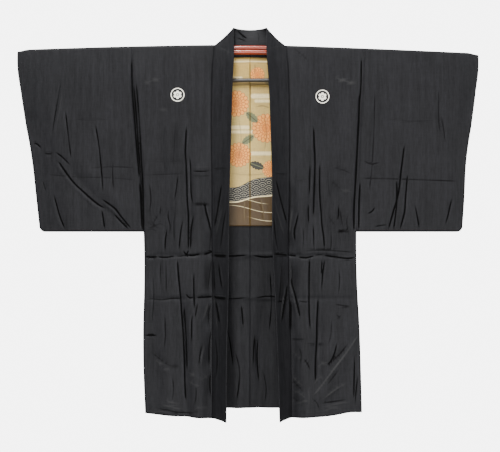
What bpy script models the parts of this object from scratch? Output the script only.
"""A black silk haori, the open jacket worn over a kimono, hanging on its hanger bar.

Metres, +Z up, with the front facing -Y. Left and right are those of someone looking at the
front. The origin is the middle of the bar, where the bar is held. Sizes and tables are in
millimetres and are turned into metres where points are placed.

Each half of the body is one length of cloth: it rises from the front hem, goes over the bar
and falls to the back hem, with the neck cut away on the inner side. The sleeves are flat tubes
hung over the same bar, the collar is one long band sewn round the whole front edge, and a
gusset joins front and back under each sleeve.
"""

import math
from collections import namedtuple

import bmesh
import bpy
import numpy as np

MM = 0.001
LEFT = -1
RIGHT = 1
SIDE_NAMES = {LEFT: "left", RIGHT: "right"}

# Thickness of each cloth, and the space left where two pieces are sewn together
CLOTH = 1.6
COLLAR_CLOTH = 3.0
LINING_CLOTH = 1.0
SEAM_GAP = 0.3
SEWN_EDGE_GAP = 0.4

# The bar is two round rods fused one above the other, bowed by the weight on it
UPPER_ROD_RADIUS = 6.0
UPPER_ROD_HEIGHT = 6.0
LOWER_ROD_RADIUS = 7.0
LOWER_ROD_HEIGHT = -5.5
BAR_END = {LEFT: 586.0, RIGHT: 576.0}
BAR_SAG = {LEFT: 13.0, RIGHT: 22.5}
BAR_SAG_POWER = {LEFT: 1.7, RIGHT: 1.25}
BAR_SAG_AT = 600.0
BAR_PARTS_GAP = 1.0

# The belt rail is a round rod bent down from the bar and up to it again
BELT_RAIL_DROP = 81.0
BELT_RAIL_HALF_LENGTH = 120.0
BELT_RAIL_RADIUS = 5.0
BELT_RAIL_BEND = 14.0
BELT_RAIL_SEAT_GAP = 0.45

# Collar band and neck
COLLAR_WIDTH = 64.0
COLLAR_CROWN = 2.0
NECK_SIDE = 86.0
NECK_BACK_DROP = 6.0

# The sleeve is closed along its bottom and, below the hand opening, along its outer end
SLEEVE_BOTTOM = 487.0
HAND_OPENING = 250.0
HAND_OPENING_NARROWS = 60.0
SLEEVE_CORNER = 14.0
CORNER_SINK = 4.5
CORNER_SINK_FROM = 4.0
CORNER_SINK_TO = 36.0

# Lining of the back
LINING_BOTTOM = 472.0
LINING_MARGIN = 1.5

# Where the hollow narrows: towards the body's side, and by shares of the sleeve's length
BODY_NARROWS_FROM = 180.0
SLEEVE_WIDENS_TO = 0.3
SLEEVE_NARROWS_FROM = 0.7
ARMHOLE_DIP = 2.0
ARMHOLE_DIP_WIDTH = 11.0
ARMHOLE_DIP_STARTS = (30, 160)
ARMHOLE_DIP_ENDS = (400, 480)
COLLAR_VALLEY_WIDTH = 26.0
SEAM_CALM_WIDTH = 14.0

# Outline of the sleeves by drop below the bar: distance of the armhole seam and of the sleeve's
# end from the centre line
SleeveRow = namedtuple("SleeveRow", "drop seam_left seam_right end_left end_right")
SLEEVE_OUTLINE = (
    SleeveRow(-20, 316, 309, 622, 611),
    SleeveRow(50, 316, 305, 620, 609),
    SleeveRow(120, 313, 300, 611, 602),
    SleeveRow(200, 307, 295, 599, 592),
    SleeveRow(300, 297, 291, 583, 579),
    SleeveRow(400, 289, 286, 572, 574),
    SleeveRow(500, 284, 284, 561, 567),
)

# Outline of the body's side below the sleeves
SkirtRow = namedtuple("SkirtRow", "drop side_left side_right")
SKIRT_OUTLINE = (
    SkirtRow(480, 284, 284),
    SkirtRow(560, 282, 284),
    SkirtRow(640, 282, 286),
    SkirtRow(740, 284, 291),
    SkirtRow(840, 283, 294),
    SkirtRow(980, 277, 297),
)

# The collar seam's distance from the centre line, the angle in degrees by which the band turns
# forward from the seam, and how far the front sinks into a valley along the seam
CollarRow = namedtuple("CollarRow", "drop seam_left seam_right turn_left turn_right valley")
COLLAR_ROWS = (
    CollarRow(0, 98, 99, 27, 28, 0),
    CollarRow(100, 101, 103, 30, 33, 1.5),
    CollarRow(220, 102, 105, 34, 37, 4),
    CollarRow(360, 100, 104, 43, 44, 7),
    CollarRow(500, 100, 101, 46, 48, 10),
    CollarRow(640, 98, 103, 49, 53, 12),
    CollarRow(800, 98, 107, 54, 56, 13),
    CollarRow(980, 98, 108, 55, 61, 13),
)

# Half the depth of the hanging garment by drop below the top of the bar's upper rod: at the
# middle of the body, along the side seams, in the sleeve, and at the sleeve's end
DepthRow = namedtuple("DepthRow", "drop body side sleeve end")
DEPTHS = (
    DepthRow(0, 7.4, 7.4, 7.4, 7.4),
    DepthRow(14, 8.6, 8.6, 8.6, 8.6),
    DepthRow(60, 11.0, 10.5, 11.5, 8.5),
    DepthRow(140, 13.5, 11.5, 13.0, 7.5),
    DepthRow(300, 16.5, 11.5, 13.0, 5.2),
    DepthRow(400, 18.0, 10.5, 11.0, 4.2),
    DepthRow(493, 19.0, 9.5, 6.5, 3.6),
    DepthRow(720, 25.0, 19.0, 6.5, 3.6),
    DepthRow(990, 31.0, 28.0, 6.5, 3.6),
)

# Drop of the hems below the bar, by share of the way from the collar or centre seam to the side
HemRow = namedtuple("HemRow", "share front_left front_right back")
HEMS = (
    HemRow(0.0, 983, 981, 966),
    HemRow(0.3, 978, 978, 965),
    HemRow(0.6, 974, 973, 965),
    HemRow(0.85, 970, 965, 965),
    HemRow(1.0, 967, 965, 964),
)

# How the layers of a sleeve come together at its sewn edges: by distance from the edge, the
# share of the hollow's depth that is left
TurnStep = namedtuple("TurnStep", "from_edge depth_left")
BOTTOM_TURN = (TurnStep(6.0, 1.0), TurnStep(1.5, 0.66), TurnStep(0.0, 0.0))
END_TURN = (TurnStep(5.0, 1.0), TurnStep(1.2, 0.72), TurnStep(0.0, 0.0))

# The large folds. Each runs from its upper to its lower end, and pushes the cloth out of the
# garment, or into it where the push is negative, over its width
Fold = namedtuple("Fold", "x_top drop_top x_low drop_low width push")
FRONT_FOLDS = (
    Fold(-168, 190, -163, 560, 17, -4.5),
    Fold(-186, 240, -196, 540, 20, 3.0),
    Fold(-140, 300, -128, 560, 18, 3.5),
    Fold(-194, 560, -166, 1000, 18, -6.0),
    Fold(-226, 600, -214, 1000, 26, 3.5),
    Fold(-150, 640, -138, 1000, 20, 5.0),
    Fold(171, 190, 170, 500, 17, -4.5),
    Fold(192, 270, 205, 540, 22, 3.5),
    Fold(140, 320, 132, 560, 18, 3.5),
    Fold(160, 560, 162, 780, 17, -4.5),
    Fold(184, 640, 172, 930, 17, -6.0),
    Fold(282, 740, 176, 960, 24, 4.5),
    Fold(140, 700, 134, 1000, 22, 4.0),
    Fold(-524, 270, -322, 500, 15, -5.0),
    Fold(-500, 250, -300, 462, 20, 3.5),
    Fold(-412, 200, -392, 400, 16, -3.0),
    Fold(-530, 380, -486, 520, 16, -2.0),
    Fold(414, 240, 370, 520, 15, -3.5),
    Fold(438, 260, 404, 520, 17, -2.5),
    Fold(396, 330, 350, 520, 18, 2.0),
    Fold(506, 120, 498, 420, 20, -2.5),
)
BACK_FOLDS = (
    Fold(-210, 120, -222, 560, 24, -4.0),
    Fold(-120, 260, -112, 560, 22, 3.0),
    Fold(-44, 560, -32, 1000, 18, -5.0),
    Fold(-130, 580, -146, 1000, 26, 5.0),
    Fold(-220, 620, -206, 1000, 24, -4.5),
    Fold(40, 600, 24, 1000, 16, 5.0),
    Fold(96, 300, 84, 560, 22, 3.0),
    Fold(122, 600, 118, 1000, 22, -5.0),
    Fold(206, 140, 214, 540, 24, -4.0),
    Fold(216, 600, 200, 1000, 26, 4.5),
    Fold(-470, 200, -440, 500, 20, -3.0),
    Fold(-380, 240, -352, 500, 18, 2.0),
    Fold(392, 180, 372, 500, 20, -3.0),
    Fold(480, 260, 498, 500, 20, 2.0),
)
FOLD_FADE_IN = 0.35
FOLD_FADE_OUT = 0.25
FOLD_END_AT_HEM = 1000

# Sharp marks across the body from storing it folded: the cloth tucks in there
StorageCrease = namedtuple("StorageCrease", "drop half_height tuck")
STORAGE_CREASES = (
    StorageCrease(550, 7, 3.0),
    StorageCrease(665, 7, 2.5),
)

# The grid of points on the cloth: drops below the bar of its rows, and its columns from the
# centre seam over the neck to the side, or as shares of the way from the armhole to the hand.
# Rows near the bar follow its bow. The arc over the bar is given by angles from 180 in front to
# 0 behind. The body's shoulder ends a few degrees short of the front and the back.
NECK_COLUMNS = 3
BODY_COLUMNS = 12
UPPER_DROPS = (15, 35, 70, 120, 170, 210, 250, 295, 340, 385, 430, 465)
LOWER_DROPS = (500, 535, 550, 565, 610, 650, 665, 680, 730, 790, 850, 915)
ARC_ANGLES = (150, 120, 90, 60, 30)
SHOULDER_ANGLES = (175, *ARC_ANGLES, 5)
SLEEVE_SHARES = (0, 0.07, 0.15, 0.24, 0.33, 0.42, 0.51, 0.6, 0.68, 0.76, 0.83, 0.9)
ROWS_LEVEL_FROM = 120
GUSSET_COLUMNS = 4
GUSSET_TUCK = 7.0
GUSSET_TUCK_WHOLE_AFTER = 100
COLLAR_COLUMNS = 4
BAR_POINTS = 7
ROD_ARC_STEPS = 8
RAIL_BEND_STEPS = 5
JOINED_WITHIN = 0.02

Finish = namedtuple("Finish", "colour roughness metallic")
BLACK_SILK = Finish((0.03, 0.03, 0.032, 1.0), 0.6, 0.0)
CREAM_SILK = Finish((0.62, 0.50, 0.30, 1.0), 0.45, 0.0)
RED_LACQUER = Finish((0.45, 0.07, 0.04, 1.0), 0.25, 0.0)
GREY_PLASTIC = Finish((0.06, 0.06, 0.065, 1.0), 0.35, 0.0)


def read(table, column, at):
    """A column of a table at a key between its rows, on a smooth curve through them."""
    keys = [row[0] for row in table]
    values = [getattr(row, column) for row in table]
    at = min(max(at, keys[0]), keys[-1])
    slopes = np.gradient(values, keys)
    i = min(int(np.searchsorted(keys, at, side="right")) - 1, len(keys) - 2)
    step = keys[i + 1] - keys[i]
    t = (at - keys[i]) / step
    return (
        (2 * t**3 - 3 * t**2 + 1) * values[i]
        + (t**3 - 2 * t**2 + t) * step * slopes[i]
        + (3 * t**2 - 2 * t**3) * values[i + 1]
        + (t**3 - t**2) * step * slopes[i + 1]
    )


def read_side(table, column, side, at):
    """The left or right column of a table."""
    return read(table, f"{column}_{SIDE_NAMES[side]}", at)


def smooth(low, high, value):
    """0 below low, 1 above high, and an even S between them."""
    t = min(max((value - low) / (high - low), 0.0), 1.0)
    return t * t * (3 - 2 * t)


def mix(a, b, share):
    return a + (b - a) * share


def bump(distance, width):
    """A bell that is 1 at its middle and almost nothing at two widths away."""
    return math.exp(-((distance / width) ** 2))


def bar_level(x):
    """Height of the bar's middle line, which sags towards its ends."""
    side = LEFT if x < 0 else RIGHT
    return -BAR_SAG[side] * (abs(x) / BAR_SAG_AT) ** BAR_SAG_POWER[side]


def shoulder_level(x):
    """Height of the upper rod's middle, from which the cloth falls on both sides."""
    side = LEFT if x < 0 else RIGHT
    past_end = abs(x) - BAR_END[side]
    sink = CORNER_SINK * smooth(CORNER_SINK_FROM, CORNER_SINK_TO, past_end)
    return bar_level(x) + UPPER_ROD_HEIGHT - sink


def side_edge(side, drop):
    """Distance of the armhole seam, and below it of the body's side, from the centre line."""
    if drop < SLEEVE_BOTTOM:
        return read_side(SLEEVE_OUTLINE, "seam", side, drop)
    return read_side(SKIRT_OUTLINE, "side", side, drop)


def sleeve_end(side, drop):
    """Distance of the sleeve's outer end from the centre line, with its bottom corner rounded."""
    rise = SLEEVE_BOTTOM - drop
    corner = 0.0
    if rise < SLEEVE_CORNER:
        corner = SLEEVE_CORNER - math.sqrt(max(SLEEVE_CORNER**2 - (SLEEVE_CORNER - rise) ** 2, 0))
    return read_side(SLEEVE_OUTLINE, "end", side, drop) - corner


def half_depth(side, out, drop):
    """Half the garment's depth, without its folds, at a distance out from the centre line."""
    fall = shoulder_level(side * out) + drop
    edge = side_edge(side, drop)
    at_side = read(DEPTHS, "side", fall)
    if out <= edge:
        depth = mix(read(DEPTHS, "body", fall), at_side, smooth(BODY_NARROWS_FROM, edge, out))
    else:
        share = (out - edge) / (sleeve_end(side, drop) - edge)
        depth = mix(at_side, read(DEPTHS, "sleeve", fall), smooth(0, SLEEVE_WIDENS_TO, share))
        narrowed = smooth(SLEEVE_NARROWS_FROM, 1, share)
        depth = mix(depth, read(DEPTHS, "end", fall), narrowed)
    fades = smooth(*ARMHOLE_DIP_STARTS, drop) * (1 - smooth(*ARMHOLE_DIP_ENDS, drop))
    return depth - ARMHOLE_DIP * bump(out - edge, ARMHOLE_DIP_WIDTH) * fades


def fold_push(folds, x, drop):
    """How far the folds push the cloth out of the garment at this point."""
    total = 0.0
    for fold in folds:
        share = (drop - fold.drop_top) / (fold.drop_low - fold.drop_top)
        if not 0 <= share <= 1:
            continue
        strength = smooth(0, FOLD_FADE_IN, share)
        if fold.drop_low < FOLD_END_AT_HEM:
            strength *= 1 - smooth(1 - FOLD_FADE_OUT, 1, share)
        total += fold.push * strength * bump(x - mix(fold.x_top, fold.x_low, share), fold.width)
    return total


def crease_push(drop):
    """How far the storage creases pull the cloth in."""
    return -sum(row.tuck * bump(drop - row.drop, row.half_height) for row in STORAGE_CREASES)


def edge_calm(side, out, drop):
    """Folds die away at the seams, so that the pieces on both sides of a seam meet."""
    return 1 - bump(out - side_edge(side, drop), SEAM_CALM_WIDTH)


def front_y(side, out, drop):
    """Depth of the front layer's middle surface."""
    calm = edge_calm(side, out, drop)
    push = fold_push(FRONT_FOLDS, side * out, drop) * calm
    if out < side_edge(side, drop):
        push += crease_push(drop) * calm
        seam = read_side(COLLAR_ROWS, "seam", side, drop)
        push -= read(COLLAR_ROWS, "valley", drop) * bump(out - seam, COLLAR_VALLEY_WIDTH)
    return -half_depth(side, out, drop) - push


def back_y(side, out, drop):
    """Depth of the back layer's middle surface."""
    calm = edge_calm(side, out, drop)
    push = fold_push(BACK_FOLDS, side * out, drop) * calm
    if out < side_edge(side, drop):
        push += crease_push(drop) * calm
    return half_depth(side, out, drop) + push


def over_bar(x, angle):
    """A point of the cloth where it turns over the upper rod, from 180 in front to 0 behind."""
    radius = DEPTHS[0].body
    turn = math.radians(angle)
    return (x, radius * -math.cos(math.pi - turn), shoulder_level(x) + radius * math.sin(turn))


def row_level(x, drop):
    """Drop of a row's point: the first rows follow the bow of the bar, and the lower are level."""
    return drop - bar_level(x) * (1 - smooth(0, ROWS_LEVEL_FROM, drop))


def neck_level(side, out):
    """Height at which the back of the body starts: the shoulder, or the neck cut into it."""
    shoulder = shoulder_level(side * out)
    if out >= NECK_SIDE:
        return shoulder
    share = out / NECK_SIDE
    return mix(-NECK_BACK_DROP, shoulder_level(side * NECK_SIDE), share**2)


def new_piece(name, data, finish):
    """A new object of the garment or its holder, with a material of its own."""
    material = bpy.data.materials.new(f"{name}_finish")
    material.use_nodes = True
    shader = material.node_tree.nodes["Principled BSDF"]
    shader.inputs["Base Color"].default_value = finish.colour
    shader.inputs["Roughness"].default_value = finish.roughness
    shader.inputs["Metallic"].default_value = finish.metallic
    data.materials.append(material)
    obj = bpy.data.objects.new(name, data)
    bpy.data.collections["haori"].objects.link(obj)
    return obj


def cloth_from_grid(name, rows, columns, place, thickness, finish):
    """A cloth wall: a grid whose points are placed by row and column, given a thickness.

    Points that meet are joined.
    """
    bm = bmesh.new()
    bmesh.ops.create_grid(bm, x_segments=columns - 1, y_segments=rows - 1, size=0.5)
    for vert in bm.verts:
        column = round((vert.co.x + 0.5) * (columns - 1))
        row = round((vert.co.y + 0.5) * (rows - 1))
        vert.co = [value * MM for value in place(row, column)]
    bmesh.ops.remove_doubles(bm, verts=bm.verts, dist=JOINED_WITHIN * MM)
    mesh = bpy.data.meshes.new(name)
    bm.to_mesh(mesh)
    bm.free()
    mesh.shade_smooth()
    obj = new_piece(name, mesh, finish)
    wall = obj.modifiers.new("Cloth", "SOLIDIFY")
    wall.thickness = thickness * MM
    wall.offset = 0
    wall.use_even_offset = True


def body_out(side, column, drop, inner):
    """Distance of one of the body's columns from the centre line, between inner edge and side."""
    share = (column - NECK_COLUMNS) / BODY_COLUMNS
    return mix(inner, side_edge(side, drop) - SEWN_EDGE_GAP / 2, share)


def back_out(side, column, drop):
    """The same on the back, whose first columns lie between the centre seam and the neck."""
    if column < NECK_COLUMNS:
        return mix(SEWN_EDGE_GAP / 2, NECK_SIDE, column / NECK_COLUMNS)
    return body_out(side, column, drop, NECK_SIDE)


def body_panels(side):
    """One half of the body: one length of cloth on the real garment, from the front hem over the
    shoulder to the back hem, and three solids here. The neck is cut out of the back."""
    neck = NECK_COLUMNS
    drops = UPPER_DROPS + LOWER_DROPS
    falls = len(drops) + 2

    def front_point(row, column):
        """Row 0 is the hem, and the last row is where the cloth starts to turn over the bar."""
        hem = read_side(HEMS, "front", side, column / BODY_COLUMNS)
        start = -shoulder_level(side * body_out(side, column + neck, 0, NECK_SIDE))
        drop = ((start,) + drops + (hem,))[falls - 1 - row]
        out = body_out(side, column + neck, drop, read_side(COLLAR_ROWS, "seam", side, drop))
        if drop in drops:
            drop = row_level(side * out, drop)
        return (side * out, front_y(side, out, drop), -drop)

    def shoulder_point(row, column):
        angle = SHOULDER_ANGLES[row]
        inner = mix(NECK_SIDE, read_side(COLLAR_ROWS, "seam", side, 0), angle / 180)
        return over_bar(side * body_out(side, column + neck, 0, inner), angle)

    def back_point(row, column):
        """The neck and the shoulder come first, and the last row is the hem."""
        hem = read(HEMS, "back", max(column - neck, 0) / BODY_COLUMNS)
        start = -neck_level(side, back_out(side, column, 0))
        drop = ((start,) + drops + (hem,))[row]
        out = back_out(side, column, drop)
        if drop in drops:
            drop = row_level(side * out, drop)
        return (side * out, back_y(side, out, drop), -drop)

    for name, rows, columns, place in (
        ("front", falls, BODY_COLUMNS + 1, front_point),
        ("shoulder", len(SHOULDER_ANGLES), BODY_COLUMNS + 1, shoulder_point),
        ("back", falls, neck + BODY_COLUMNS + 1, back_point),
    ):
        cloth_from_grid(f"{name}_{SIDE_NAMES[side]}", rows, columns, place, CLOTH, BLACK_SILK)


def sleeve(side):
    """A flat tube over the bar, closed at the bottom and at its end below the hand opening."""
    turn = {SLEEVE_BOTTOM - step.from_edge: step.depth_left for step in BOTTOM_TURN}
    drops = UPPER_DROPS + tuple(turn)
    falls = len(drops) + 1
    arc_rows = len(ARC_ANGLES)
    shares = len(SLEEVE_SHARES)
    columns = shares + len(END_TURN)

    def out_at(column, drop):
        seam = side_edge(side, drop) + SEWN_EDGE_GAP / 2
        end = sleeve_end(side, drop)
        if column < shares:
            return mix(seam, end, SLEEVE_SHARES[column])
        return end - END_TURN[column - shares].from_edge

    def fall_point(sign, step, column):
        start = -shoulder_level(side * out_at(column, 0))
        drop = ((start,) + drops)[step]
        out = out_at(column, drop)
        depth_left = turn.get(drop, 1.0)
        if drop in drops:
            drop = row_level(side * out, drop)
        if column >= shares:
            closed = smooth(HAND_OPENING - HAND_OPENING_NARROWS, HAND_OPENING, drop)
            depth_left *= mix(1.0, END_TURN[column - shares].depth_left, closed)
        layer = front_y if sign < 0 else back_y
        return (side * out, layer(side, out, drop) * depth_left, -drop)

    def place(row, column):
        if row < falls:
            return fall_point(-1, falls - 1 - row, column)
        if row < falls + arc_rows:
            return over_bar(side * out_at(column, 0), ARC_ANGLES[row - falls])
        return fall_point(1, row - falls - arc_rows, column)

    cloth_from_grid(
        f"sleeve_{SIDE_NAMES[side]}", 2 * falls + arc_rows, columns, place, CLOTH, BLACK_SILK
    )


# The band's free edge round the neck, from the front up over the shoulder to the middle of the
# back. Each row goes with the matching point of the neck seam.
NeckRow = namedtuple("NeckRow", "part where free_out free_y free_z")
NECK_ROWS = (
    NeckRow("back", 0.0, 0.0, 23.5, 59.0),
    NeckRow("back", 0.33, 13.0, 22.5, 59.3),
    NeckRow("back", 0.66, 26.0, 19.5, 60.0),
    NeckRow("back", 1.0, 37.5, 12.0, 60.5),
    NeckRow("arc", 45, 42.0, 2.0, 60.0),
    NeckRow("arc", 90, 43.5, -8.0, 57.0),
    NeckRow("arc", 135, 43.5, -17.0, 44.0),
    NeckRow("arc", 180, 43.0, -25.0, 27.0),
    NeckRow("front", 8, 42.5, -30.0, 10.0),
)
COLLAR_DROPS = (30, 59.8, 60.2, 100, 140, 180, 220, 260, 300, 340, 380, 420, 460, 500, 535, 550, 565, 600,
                635, 665, 700, 740, 780, 820, 860, 900, 940)


COLLAR_PARTS_AT = 60


def collar():
    """One long band, from the left front hem up round the neck and down to the right front hem.
    It is parted in two places below the neck, between the two rows near COLLAR_PARTS_AT."""

    def neck_seam(side, row):
        if row.part == "back":
            out = row.where * NECK_SIDE
            drop = -neck_level(side, out)
            return (side * out, back_y(side, out, drop), -drop)
        if row.part == "arc":
            seam = read_side(COLLAR_ROWS, "seam", side, 0)
            return over_bar(side * mix(NECK_SIDE, seam, row.where / 180), row.where)
        out = read_side(COLLAR_ROWS, "seam", side, row.where)
        return (side * out, front_y(side, out, row.where), -row.where)

    def front_pair(side, drop):
        out = read_side(COLLAR_ROWS, "seam", side, drop)
        seam = (side * out, front_y(side, out, drop), -drop)
        turn = math.radians(read_side(COLLAR_ROWS, "turn", side, drop))
        inwards = -side * COLLAR_WIDTH * math.cos(turn)
        forwards = -COLLAR_WIDTH * math.sin(turn)
        return seam, (seam[0] + inwards, seam[1] + forwards, seam[2])

    def half(side):
        """Pairs of seam and free points from the middle of the back to the front hem."""
        pairs = []
        for row in NECK_ROWS:
            free = (side * row.free_out, row.free_y, row.free_z)
            pairs.append((neck_seam(side, row), free))
        hem = read_side(HEMS, "front", side, 0)
        pairs += [front_pair(side, drop) for drop in COLLAR_DROPS + (hem,)]
        return pairs

    def band(name, pairs):
        def place(row, column):
            seam, free = (np.array(point) for point in pairs[row])
            across = (free - seam) / np.linalg.norm(free - seam)
            before, after = pairs[max(row - 1, 0)][0], pairs[min(row + 1, len(pairs) - 1)][0]
            normal = np.cross(np.array(after) - np.array(before), across)
            normal /= np.linalg.norm(normal)
            gap = SEAM_GAP + COLLAR_CLOTH / 2
            share = column / (COLLAR_COLUMNS - 1)
            crown = COLLAR_CROWN * math.sin(math.pi * share)
            return mix(seam + across * gap, free, share) + normal * crown

        cloth_from_grid(name, len(pairs), COLLAR_COLUMNS, place, COLLAR_CLOTH, BLACK_SILK)

    left, right = half(LEFT), half(RIGHT)
    neck = len(NECK_ROWS) + sum(drop < COLLAR_PARTS_AT for drop in COLLAR_DROPS)
    band("collar_left", left[:neck - 1:-1])
    band("collar_neck", left[neck - 1:0:-1] + right[:neck])
    band("collar_right", right[neck:])


def gusset(side):
    """The strip that joins front and back under the sleeve, tucked in a little."""
    first = LOWER_DROPS[0]
    tucked = first + GUSSET_TUCK_WHOLE_AFTER

    def place(row, column):
        share = column / (GUSSET_COLUMNS - 1)
        last = min(read_side(HEMS, "front", side, 1), HEMS[-1].back)
        drop = (LOWER_DROPS + (last,))[row]
        out = side_edge(side, drop) - SEWN_EDGE_GAP / 2 - CLOTH
        gap = CLOTH / 2 + SEAM_GAP + SEWN_EDGE_GAP
        near = front_y(side, out, drop) + gap
        far = back_y(side, out, drop) - gap
        tuck = GUSSET_TUCK * math.sin(math.pi * share) * smooth(first, tucked, drop)
        return (side * (out - tuck), mix(near, far, share), -drop)

    cloth_from_grid(
        f"gusset_{SIDE_NAMES[side]}", len(LOWER_DROPS) + 1, GUSSET_COLUMNS, place, CLOTH, BLACK_SILK
    )


def lining_panel(side):
    """Half of the back's lining, made from the back's points moved to its inner side."""
    inset = (CLOTH + LINING_CLOTH) / 2 + SEAM_GAP
    drops = UPPER_DROPS + (LINING_BOTTOM,)
    columns = NECK_COLUMNS + BODY_COLUMNS + 1

    def place(row, column):
        drop = drops[row]
        out = back_out(side, column, drop)
        if column == columns - 1:
            out -= LINING_MARGIN
        drop = row_level(side * out, drop)
        return (side * out, back_y(side, out, drop) - inset, -drop)

    cloth_from_grid(
        f"lining_{SIDE_NAMES[side]}", len(drops), columns, place, LINING_CLOTH, CREAM_SILK
    )


def bar():
    """Two fused rods as one outline, swept along each half of the bowed line of the bar."""
    gap = UPPER_ROD_HEIGHT - LOWER_ROD_HEIGHT
    along = (gap**2 + LOWER_ROD_RADIUS**2 - UPPER_ROD_RADIUS**2) / (2 * gap)
    waist = math.sqrt(LOWER_ROD_RADIUS**2 - along**2)
    upper = math.atan2(along - gap, waist)
    lower = math.atan2(along, waist)
    outline = bpy.data.curves.new("bar_outline", "CURVE")
    outline.dimensions = "2D"
    points = []
    for i in range(ROD_ARC_STEPS + 1):
        turn = mix(upper, math.pi - upper, i / ROD_ARC_STEPS)
        points.append((UPPER_ROD_RADIUS * math.cos(turn),
                       UPPER_ROD_HEIGHT + UPPER_ROD_RADIUS * math.sin(turn)))
    for i in range(1, ROD_ARC_STEPS):
        turn = mix(math.pi - lower, 2 * math.pi + lower, i / ROD_ARC_STEPS)
        points.append((LOWER_ROD_RADIUS * math.cos(turn),
                       LOWER_ROD_HEIGHT + LOWER_ROD_RADIUS * math.sin(turn)))
    spline = outline.splines.new("POLY")
    spline.points.add(len(points) - 1)
    for point, (across, up) in zip(spline.points, reversed(points)):
        point.co = (across * MM, up * MM, 0, 1)
    spline.use_cyclic_u = True
    profile = bpy.data.objects.new("bar_outline", outline)
    profile.hide_render = True
    profile.display_type = "WIRE"
    bpy.data.collections["guides"].objects.link(profile)

    for side in (LEFT, RIGHT):
        line = bpy.data.curves.new(f"bar_{SIDE_NAMES[side]}", "CURVE")
        line.dimensions = "3D"
        line.twist_mode = "Z_UP"
        line.bevel_mode = "OBJECT"
        line.bevel_object = profile
        line.use_fill_caps = True
        path = line.splines.new("POLY")
        path.points.add(BAR_POINTS - 1)
        ends = sorted((side * BAR_PARTS_GAP / 2, side * BAR_END[side]))
        for i, point in enumerate(path.points):
            x = mix(*ends, i / (BAR_POINTS - 1))
            point.co = (x * MM, 0, bar_level(x) * MM, 1)
        new_piece(f"bar_{SIDE_NAMES[side]}", line, RED_LACQUER)


def belt_rail():
    """A round rod: down from the bar, along behind the fronts, and up again."""
    top = LOWER_ROD_HEIGHT - LOWER_ROD_RADIUS - BELT_RAIL_SEAT_GAP
    line = bpy.data.curves.new("belt_rail", "CURVE")
    line.dimensions = "3D"
    line.bevel_depth = BELT_RAIL_RADIUS * MM
    line.bevel_resolution = 2
    line.use_fill_caps = True
    low = -BELT_RAIL_DROP
    points = []
    for side in (LEFT, RIGHT):
        end = side * BELT_RAIL_HALF_LENGTH
        sunk = bar_level(end)
        arm = [(end, top + sunk), (end, low + 2 * BELT_RAIL_BEND)]
        centre = (end - side * BELT_RAIL_BEND, low + BELT_RAIL_BEND)
        for i in range(RAIL_BEND_STEPS + 1):
            turn = math.pi / 2 * i / RAIL_BEND_STEPS
            arm.append((centre[0] + side * BELT_RAIL_BEND * math.cos(turn),
                        centre[1] - BELT_RAIL_BEND * math.sin(turn)))
        points += arm if side == LEFT else arm[::-1]
    spline = line.splines.new("POLY")
    spline.points.add(len(points) - 1)
    for point, (x, z) in zip(spline.points, points):
        point.co = (x * MM, 0, z * MM, 1)
    new_piece("belt_rail", line, GREY_PLASTIC)


def start_clean():
    for obj in list(bpy.data.objects):
        bpy.data.objects.remove(obj)
    for name in ("haori", "guides"):
        bpy.context.scene.collection.children.link(bpy.data.collections.new(name))
    bpy.data.collections["guides"].hide_render = True


def build():
    start_clean()
    bar()
    belt_rail()
    for side in (LEFT, RIGHT):
        body_panels(side)
        sleeve(side)
        gusset(side)
        lining_panel(side)
    collar()


build()
